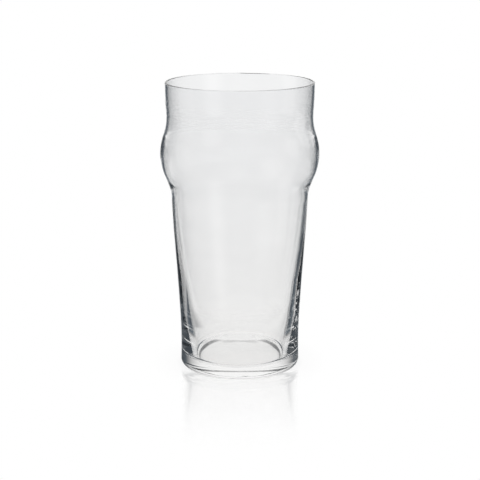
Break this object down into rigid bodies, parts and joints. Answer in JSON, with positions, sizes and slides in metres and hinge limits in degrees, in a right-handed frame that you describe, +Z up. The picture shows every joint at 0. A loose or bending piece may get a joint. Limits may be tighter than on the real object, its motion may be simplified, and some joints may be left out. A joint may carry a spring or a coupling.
{
  "type": "pint glass",
  "caption": "Clear pint drinking glass with a tapered wall, a rounded bulge below the rim, a thin fire-polished lip and a solid flat base.",
  "frame": {"origin": "centre of the flat underside, on the plane the glass stands on", "axes": "+Z up along the glass's axis of revolution, towards the open rim; +X and +Y are any two level directions, because the glass is round"},
  "size_m": [0.0868, 0.0868, 0.159],
  "materials": {
    "clear_glass": "fire-polished gloss"
  },
  "bodies": {
    "root": {"glass_body": "clear_glass"}
  },
  "joints": []
}
